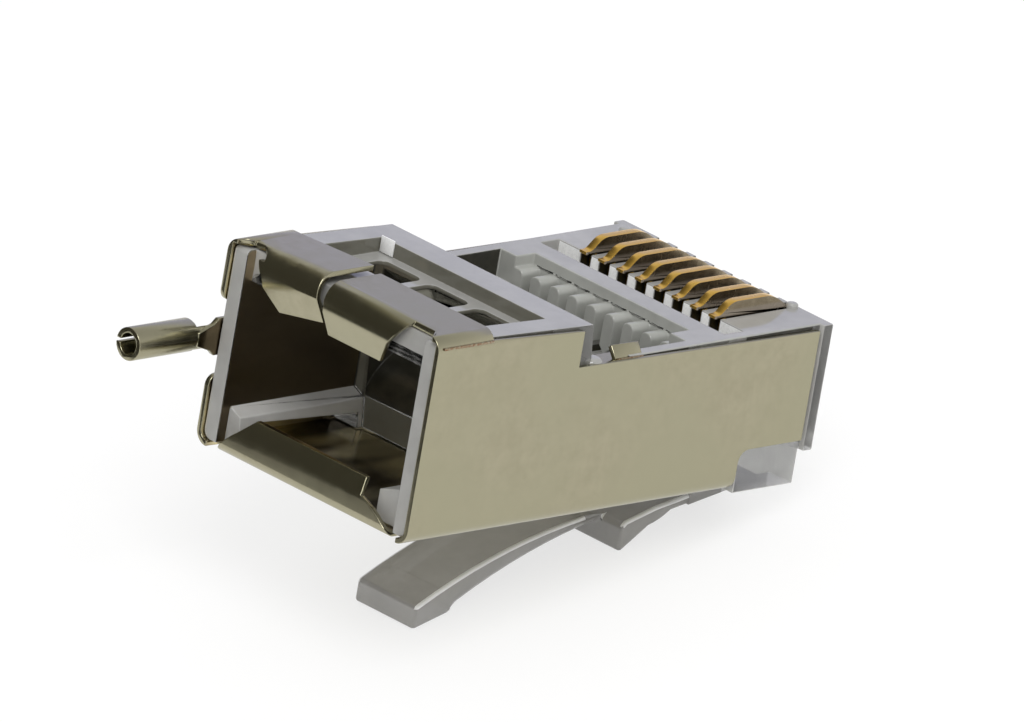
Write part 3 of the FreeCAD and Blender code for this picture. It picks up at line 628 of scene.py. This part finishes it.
def contact_metal(settings):
    """Gold on the blade's rim, stained bronze on its sheared sides, and taupe near the deck."""
    material, tree = new_material("contact_metal")
    place = node(tree, "NewGeometry")
    across = node(tree, "SeparateXYZ", {"Vector": place.outputs["True Normal"]}).outputs["Y"]
    side = node(tree, "Math", {0: across}, operation="ABSOLUTE").outputs[0]
    stain = noise(tree, plug_coordinates(tree), 2600, 4, 0.6)
    bronze = mixed_colour(tree, ramped(tree, stain, 0, 1), colour(settings.bronze),
                          colour(settings.bronze_dark))
    deck = SHADER_LIFT + FRONT_DECK * MM
    band = ramped(tree, plug_height(tree), 0, 1, deck + 0.32 * MM, deck + 0.22 * MM)
    bronze = mixed_colour(tree, band, bronze, colour(settings.taupe))
    tone = mixed_colour(tree, ramped(tree, side, 0, 1, 0.6, 0.9), colour(settings.gold), bronze)
    strokes = noise(tree, plug_coordinates(tree, (900, 900, 300)), 3, 2)
    haze = ramped(tree, strokes, 0.20, 0.28)
    metal = node(tree, "BsdfPrincipled", {"Base Color": tone, "Metallic": 1.0, "Roughness": haze,
                                          "Normal": bumped(tree, strokes, 0.0005 * MM, 0.5)})
    finish_material(tree, metal)
    return material


# ---------------------------------------------------------------- settings


class ShieldSettings(bpy.types.PropertyGroup):
    plating: bpy.props.FloatVectorProperty(
        name="Plating", description="Colour of the nickel plating", subtype="COLOR", min=0, max=1,
        default=(0.385, 0.357, 0.25))
    plating_cloud: bpy.props.FloatVectorProperty(
        name="Plating cloud", description="Colour of the plating where it is duller",
        subtype="COLOR", min=0, max=1, default=(0.352, 0.325, 0.224))
    plating_patch: bpy.props.FloatVectorProperty(
        name="Plating patch", description="Colour of broad patches where the plating is greener",
        subtype="COLOR", min=0, max=1, default=(0.363, 0.344, 0.235))
    # a pale colour that paints a highlight on the cut edges that face sideways
    edge_highlight: bpy.props.FloatVectorProperty(
        name="Burnished edge", description="Colour of the sheared edges that the die polished",
        subtype="COLOR", min=0, max=1, default=(0.86, 0.80, 0.68))
    cut_edge: bpy.props.FloatVectorProperty(
        name="Cut edge", description="Colour of the sheared edges", subtype="COLOR", min=0, max=1,
        default=(0.22, 0.10, 0.05))
    # a dark colour that paints the shade inside the shield
    inner: bpy.props.FloatVectorProperty(
        name="Inside", description="Colour of the sheet's inner faces", subtype="COLOR",
        min=0, max=1, default=(0.24, 0.19, 0.115))
    # a bright colour that paints reflections of light on the sheet's inner faces
    inner_painted_reflection: bpy.props.FloatVectorProperty(
        name="Inside streak", description="Colour of the drawn streaks on the sheet's inner faces",
        subtype="COLOR", min=0, max=1, default=(0.95, 0.84, 0.52))
    gloss: bpy.props.FloatProperty(
        name="Satin", description="Roughness of the plating", subtype="FACTOR", min=0, max=1,
        default=0.24)
    edge_round: bpy.props.FloatProperty(
        name="Edge rounding", description="Width of the rounded edges of the sheet", unit="LENGTH",
        default=0.035 * MM, precision=6)


class MouldingSettings(bpy.types.PropertyGroup):
    tint: bpy.props.FloatVectorProperty(
        name="Tint", description="Colour of the clear plastic", subtype="COLOR", min=0, max=1,
        default=(0.50, 0.495, 0.475))
    wall_tint: bpy.props.FloatVectorProperty(
        name="Wall tint", description="Colour of the clear walls inside the shield",
        subtype="COLOR", min=0, max=1, default=(0.82, 0.82, 0.80))
    # dark: paints the shade on the walls of the hollows
    hollow_shade_tint: bpy.props.FloatVectorProperty(
        name="Smoky tint", description="Colour of the hollows' walls", subtype="COLOR",
        min=0, max=1, default=(0.17, 0.165, 0.135))
    comb_tint: bpy.props.FloatVectorProperty(
        name="Comb tint", description="Colour of the wire comb's ribs", subtype="COLOR",
        min=0, max=1, default=(0.44, 0.445, 0.415))
    milk_tint: bpy.props.FloatVectorProperty(
        name="Milky tint", description="Colour of the thick blocks at the nose and the entry",
        subtype="COLOR", min=0, max=1, default=(0.63, 0.625, 0.605))
    # the far wall's colour is painted shade
    shade_tint: bpy.props.FloatVectorProperty(
        name="Shaded wall", description="Colour of the entry's far wall against the sheet",
        subtype="COLOR", min=0, max=1, default=(0.50, 0.40, 0.26))
    # near black: paints the shade in the slots and the throat
    slot_shade_tint: bpy.props.FloatVectorProperty(
        name="Slot tint", description="Colour of the deep slots' walls", subtype="COLOR",
        min=0, max=1, default=(0.035, 0.033, 0.022))
    # near white: paints light on the rib ends, the pan's far corner and the latch's rounded edges
    painted_light_tint: bpy.props.FloatVectorProperty(
        name="Pale tint", description="Colour of the ribs' ends", subtype="COLOR", min=0, max=1,
        default=(0.93, 0.93, 0.925))
    latch_tint: bpy.props.FloatVectorProperty(
        name="Latch tint", description="Colour of the latch, seen against the floor's shadow",
        subtype="COLOR", min=0, max=1, default=(0.45, 0.44, 0.415))
    clarity: bpy.props.FloatProperty(
        name="Clarity", description="Share of the light that passes through the plastic",
        subtype="FACTOR", min=0, max=1, default=0.28)
    latch_clarity: bpy.props.FloatProperty(
        name="Latch clarity", description="Share of the light that passes through the latch",
        subtype="FACTOR", min=0, max=1, default=0.42)
    latch_cover: bpy.props.FloatProperty(
        name="Latch cover", description="Share of what lies behind the latch that its skin hides",
        subtype="FACTOR", min=0, max=1, default=0.88)
    haze: bpy.props.FloatProperty(
        name="Haze", description="Roughness of the moulded surface", subtype="FACTOR", min=0, max=1,
        default=0.09)
    edge_gloss: bpy.props.FloatProperty(
        name="Edge gloss", description="Radius over which light rounds the smallest edges",
        unit="LENGTH", default=0.05 * MM, precision=6)
    edge_round: bpy.props.FloatProperty(
        name="Edge rounding", description="Width of the rounded edges of the moulding",
        unit="LENGTH", default=0.05 * MM, precision=6)
    latch_round: bpy.props.FloatProperty(
        name="Latch rounding", description="Width of the rounded edges of the latch", unit="LENGTH",
        default=0.13 * MM, precision=6)


class ContactSettings(bpy.types.PropertyGroup):
    taupe: bpy.props.FloatVectorProperty(
        name="Taupe", description="Colour of the blade's sides near the deck", subtype="COLOR",
        min=0, max=1, default=(0.46, 0.40, 0.33))
    gold: bpy.props.FloatVectorProperty(
        name="Gold", description="Colour of the plated rim", subtype="COLOR", min=0, max=1,
        default=(0.80, 0.50, 0.11))
    bronze: bpy.props.FloatVectorProperty(
        name="Bronze", description="Colour of the blade's sides", subtype="COLOR", min=0, max=1,
        default=(0.44, 0.37, 0.26))
    bronze_dark: bpy.props.FloatVectorProperty(
        name="Dark bronze", description="Colour of the stains on the blade's sides",
        subtype="COLOR", min=0, max=1, default=(0.34, 0.28, 0.19))
    edge_round: bpy.props.FloatProperty(
        name="Edge rounding", description="Width of the rounded edges of the blades", unit="LENGTH",
        default=0.03 * MM, precision=6)


class StageSettings(bpy.types.PropertyGroup):
    azimuth: bpy.props.FloatProperty(
        name="Azimuth", description="Direction of the camera round the plug; 0 looks along +Y",
        subtype="ANGLE", default=math.radians(-42.385))
    elevation: bpy.props.FloatProperty(
        name="Elevation", description="Height of the camera above the horizon", subtype="ANGLE",
        default=math.radians(29.524))
    roll: bpy.props.FloatProperty(
        name="Roll", description="Tilt of the camera about its line of sight", subtype="ANGLE",
        default=math.radians(-1.66))
    distance: bpy.props.FloatProperty(
        name="Distance", description="From the camera to the plug", unit="LENGTH",
        default=1295.7 * MM, precision=4)
    floor_colour: bpy.props.FloatVectorProperty(
        name="Floor", description="Colour of the floor", subtype="COLOR", min=0, max=1,
        default=(0.80, 0.80, 0.79))


# ---------------------------------------------------------------- operators


class PLUG_OT_shield(bpy.types.Operator):
    """Build the folded shield with its plated faces and cut edges"""

    bl_idname = "plug.shield"
    bl_label = "Shield"

    def execute(self, context):
        settings = context.scene.plug_shield
        piece = softened("shield", "folded_shield", settings.edge_round, folded=True)
        for finish in (plated_metal, cut_metal, inner_metal, edge_highlight_metal):
            piece.data.materials.append(finish(settings))
        mark_inner_faces(piece)
        # name, both ends along the plug, low and run of the section, thickness, finish
        trims = (
            # the first strip is dark and paints the shadow under the flap's fold along the side
            # wall
            ("fold_shadow", (0.25, 2.9), (-5.9, 7.95), (0, 0.1), 0.08, CUT),
            ("side_tab", (10.05, 11.5), (-5.55, 6.24), (0.354, 0.46), 0.2, PLATED),
            ("side_tab_edge", (10.1, 11.45), (-5.72, 6.06), (0.05, 0.24), 0.16, CUT),
        )
        for name, ends, low, run, thickness, finish in trims:
            leaning_strip(name, ends, low, run, thickness, piece.data.materials[finish])
        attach(piece, ROOT)
        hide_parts("shield")
        return {"FINISHED"}


class PLUG_OT_housing(bpy.types.Operator):
    """Build the clear moulding inside the shield"""

    bl_idname = "plug.housing"
    bl_label = "Housing"

    def execute(self, context):
        settings = context.scene.plug_moulding
        piece = softened("housing", "clear_housing", settings.edge_round)
        # slot carries the slots' painted shade, pale the ribs' painted light
        haze, slot, pale = settings.haze, settings.slot_shade_tint, settings.painted_light_tint
        for material in (
            clear_moulding(settings, "cloudy_moulding", settings.tint, settings.clarity, haze),
            clear_moulding(settings, "clear_moulding", settings.wall_tint, 0.97, haze / 2,
                           shine=0.2),
            solid_moulding("slot_shade_paint", slot, [part / 2 for part in slot], 0.35),
            solid_moulding("painted_light_rib", pale, [0.9 * part for part in pale], 0.3),
            clear_moulding(settings, "hollow_shade_moulding", settings.hollow_shade_tint, 0.1, haze),
            clear_moulding(settings, "milky_moulding", settings.milk_tint, 0.1, haze),
            clear_moulding(settings, "nose_block", settings.milk_tint, 0.1, haze, cover=0.75),
            shaded_wall(settings),
            clear_moulding(settings, "comb_moulding", settings.comb_tint, 0.15, haze),
        ):
            piece.data.materials.append(material)
        for face in piece.data.polygons:
            place, normal = (TO_PLUG @ face.center) / MM, PLUG_TURN @ face.normal
            face.material_index = moulding_finish(place, normal, face.area)
        # name, centre (x, y), radius, lowest and highest point
        bosses = (
            ("corner_boss", (8.95, -5.35), 0.44, (5.6, 6.42)),
            ("deck_boss_near", (21.2, -3.8), 0.24, (6.0, 6.5)),
            ("deck_boss_far", (20.4, 4.65), 0.26, (6.0, 6.58)),
        )
        for name, centre, radius, heights in bosses:
            rounded_boss(name, centre, radius, heights, piece.data.materials[CLOUDY])
        # a thin near-white plate that paints light on the pan's far corner
        thin_plate("pan_corner_light", (6.82, 3.75, 7.38), (6.88, 4.46, 8.02),
                   piece.data.materials[PAINTED_LIGHT_RIB])
        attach(piece, ROOT)
        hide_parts("housing")
        return {"FINISHED"}


class PLUG_OT_latch(bpy.types.Operator):
    """Build the locking latch"""

    bl_idname = "plug.latch"
    bl_label = "Latch"

    def execute(self, context):
        settings = context.scene.plug_moulding
        piece = softened("latch", "locking_latch", settings.latch_round)
        for face in piece.data.polygons:
            normal = PLUG_TURN @ face.normal
            # painted highlight: the rounded top edges get a near-white finish
            rounding = 0.25 < abs(normal.y) < 0.93 and normal.z > 0.2
            face.material_index = LATCH_HIGHLIGHT if rounding else LATCH_SKIN
        haze = 0.7 * settings.haze
        plastic = clear_moulding(settings, "clear_latch", settings.latch_tint,
                                 settings.latch_clarity, haze, shine=1.0,
                                 cover=settings.latch_cover)
        piece.data.materials.append(plastic)
        # a near-white finish that paints a highlight along the latch's rounded top edges
        piece.data.materials.append(
            clear_moulding(settings, "latch_highlight", settings.painted_light_tint, 0.05, haze, shine=1.0))
        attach(piece, "latch")
        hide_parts("latch")
        strap = make_strap("bending_strap")
        strap.data.materials.append(plastic)
        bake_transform(strap)
        return {"FINISHED"}


class PLUG_OT_contacts(bpy.types.Operator):
    """Build the eight contact blades"""

    bl_idname = "plug.contacts"
    bl_label = "Contacts"

    def execute(self, context):
        settings = context.scene.plug_contacts
        metal = contact_metal(settings)
        for name in CONTACTS:
            low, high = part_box(name)
            lane = ((low[1] + high[1]) / 2 - HINGE.y) / MM
            piece = make_blade(f"{name}_blade", lane, settings.edge_round)
            piece.data.materials.append(metal)
            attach(piece, name)
            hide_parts(name)
        return {"FINISHED"}


class PLUG_OT_stage(bpy.types.Operator):
    """Set up the floor, the reflectors, the lamp and the camera"""

    bl_idname = "plug.stage"
    bl_label = "Stage"

    def execute(self, context):
        settings = context.scene.plug_stage
        scene = context.scene
        make_floor(settings)
        make_cards()
        make_world(scene)
        make_lamp()
        make_camera(scene, settings)
        scene.view_settings.view_transform = "Standard"
        return {"FINISHED"}


# ---------------------------------------------------------------- stage


def flat_sheet(name, width, height, place, facing):
    """A rectangle centred at a place, whose face looks towards a point."""
    mesh = bpy.data.meshes.new(name)
    x, y = width / 2, height / 2
    mesh.from_pydata([(-x, -y, 0), (x, -y, 0), (x, y, 0), (-x, y, 0)], [], [(0, 1, 2, 3)])
    sheet = bpy.data.objects.new(name, mesh)
    turn = (Vector(facing) - Vector(place)).to_track_quat("Z", "Y").to_matrix().to_4x4()
    sheet.matrix_world = Matrix.Translation(place) @ turn
    bpy.context.scene.collection.objects.link(sheet)
    return sheet


def seen_ray(tree):
    """1 for rays that show a background: to the camera, off gloss and through clear plastic."""
    path = node(tree, "LightPath")
    first = node(tree, "Math", {0: path.outputs["Is Camera Ray"], 1: path.outputs["Is Glossy Ray"]},
                 operation="MAXIMUM")
    return node(tree, "Math", {0: first.outputs[0], 1: path.outputs["Is Transmission Ray"]},
                operation="MAXIMUM").outputs[0]


def make_floor(settings):
    """A pale floor. Most of what is seen of it is its own light, so that its shadows stay soft."""
    material, tree = new_material("pale_floor")
    lit = node(tree, "BsdfDiffuse", {"Color": colour(settings.floor_colour)})
    seen = node(tree, "BsdfDiffuse", {"Color": (0.30, 0.30, 0.30, 1)})
    own = node(tree, "Emission", {"Color": (1, 1, 1, 1), "Strength": 0.70})
    pale = node(tree, "AddShader")
    tree.links.new(seen.outputs[0], pale.inputs[0])
    tree.links.new(own.outputs[0], pale.inputs[1])
    surface = node(tree, "MixShader", {0: seen_ray(tree)})
    tree.links.new(lit.outputs[0], surface.inputs[1])
    tree.links.new(pale.outputs[0], surface.inputs[2])
    finish_material(tree, surface)
    floor = flat_sheet("floor", 3.0, 3.0, (0, 0, 0), (0, 0, 1))
    floor.data.materials.append(material)


def make_cards():
    """Reflectors that only gloss shows, all towards the plug's far side: a dark one high above the
    cable entry, a pale bluish one beyond the nose, and a dark one flat on the floor."""
    # name, width and height, place, low colour, high colour, where the colour starts and ends
    cards = (
        ("dark_card", (0.50, 0.30), (-0.062, 0.056, 0.15),
         (0.065, 0.062, 0.05), (0.42, 0.40, 0.32), (0.38, 0.9)),
        ("blue_card", (0.30, 0.07), (0.095, 0.085, 0.035),
         (0.575, 0.585, 0.80), (0.645, 0.655, 0.88), (0.0, 1.0)),
        ("floor_card", (0.217, 0.27), (-0.1465, 0.115, 0.0004),
         (0.02, 0.02, 0.02), (0.03, 0.03, 0.03), (0.0, 1.0)),
    )
    for name, size, place, low, high, span in cards:
        material, tree = new_material(name)
        spot = node(tree, "TexCoord").outputs["Generated"]
        height = node(tree, "SeparateXYZ", {"Vector": spot}).outputs["Y"]
        tone = mixed_colour(tree, ramped(tree, height, 0, 1, *span), colour(low), colour(high))
        finish_material(tree, node(tree, "Emission", {"Color": tone}))
        on_floor = place[2] < MM
        facing = (place[0], place[1], 1) if on_floor else (0, 0, place[2])
        card = flat_sheet(name, *size, place, facing)
        card.data.materials.append(material)
        card.visible_camera = False
        card.visible_diffuse = False
        card.visible_shadow = False
        card.visible_transmission = False


def make_world(scene):
    """Even light, with a pale surround for whatever shows it."""
    world = bpy.data.worlds.new("surround")
    world.use_nodes = True
    tree = world.node_tree
    tree.nodes.clear()
    place = node(tree, "TexCoord")
    height = node(tree, "SeparateXYZ", {"Vector": place.outputs["Generated"]}).outputs["Z"]
    rise = ramped(tree, height, 0, 1, 0.0, 0.9)
    sky = mixed_colour(tree, rise, (0.95, 0.95, 0.95, 1), (0.52, 0.52, 0.53, 1))
    shown = node(tree, "Background", {"Color": sky, "Strength": 1.0})
    light = node(tree, "Background", {"Color": (1, 1, 1, 1), "Strength": 0.75})
    both = node(tree, "MixShader", {0: seen_ray(tree)})
    tree.links.new(light.outputs[0], both.inputs[1])
    tree.links.new(shown.outputs[0], both.inputs[2])
    out = node(tree, "OutputWorld")
    tree.links.new(both.outputs[0], out.inputs["Surface"])
    scene.world = world


def make_lamp():
    """A large soft box overhead on the camera's side."""
    data = bpy.data.lights.new("overhead_box", "AREA")
    data.shape = "SQUARE"
    data.size = 0.16
    data.energy = 0.55
    lamp = bpy.data.objects.new("overhead_box", data)
    lamp.location = (-0.10, -0.16, 0.30)
    lamp.rotation_mode = "QUATERNION"
    lamp.rotation_quaternion = (-lamp.location).to_track_quat("-Z", "Y")
    bpy.context.scene.collection.objects.link(lamp)


def make_camera(scene, settings):
    """A long lens that looks along the plug from its cable entry."""
    around, above = settings.azimuth, settings.elevation
    back = Vector((math.sin(around) * math.cos(above), -math.cos(around) * math.cos(above),
                   math.sin(above)))
    right = Vector((0, 0, 1)).cross(back).normalized()
    up = back.cross(right)
    level = Matrix((right, up, back)).transposed()
    turned = level @ Matrix.Rotation(settings.roll, 3, "Z")
    data = bpy.data.cameras.new("long_lens")
    data.sensor_width = 36
    data.lens = 1200
    data.clip_start = 0.01
    data.clip_end = 5
    camera = bpy.data.objects.new("long_lens", data)
    place = CAMERA_TARGET + back * settings.distance
    camera.matrix_world = Matrix.Translation(place) @ turned.to_4x4()
    scene.collection.objects.link(camera)
    scene.camera = camera


# ---------------------------------------------------------------- panel and registration


class PLUG_PT_pieces(bpy.types.Panel):
    """Lists the plug's pieces"""

    bl_label = "Modular plug"
    bl_idname = "PLUG_PT_pieces"
    bl_space_type = "VIEW_3D"
    bl_region_type = "UI"
    bl_category = "Plug"

    def draw(self, context):
        for operator in OPERATORS:
            self.layout.operator(operator.bl_idname)


SETTINGS = {
    "plug_shield": ShieldSettings,
    "plug_moulding": MouldingSettings,
    "plug_contacts": ContactSettings,
    "plug_stage": StageSettings,
}
OPERATORS = (PLUG_OT_shield, PLUG_OT_housing, PLUG_OT_latch, PLUG_OT_contacts, PLUG_OT_stage)
CLASSES = (*SETTINGS.values(), *OPERATORS, PLUG_PT_pieces)


def register():
    for item in CLASSES:
        bpy.utils.register_class(item)
    for name, group in SETTINGS.items():
        setattr(bpy.types.Scene, name, bpy.props.PointerProperty(type=group))


def unregister():
    for name in SETTINGS:
        delattr(bpy.types.Scene, name)
    for item in reversed(CLASSES):
        bpy.utils.unregister_class(item)


def main():
    register()
    bpy.ops.plug.shield()
    bpy.ops.plug.housing()
    bpy.ops.plug.latch()
    bpy.ops.plug.contacts()
    bpy.ops.plug.stage()


if __name__ == "__main__":
    main()
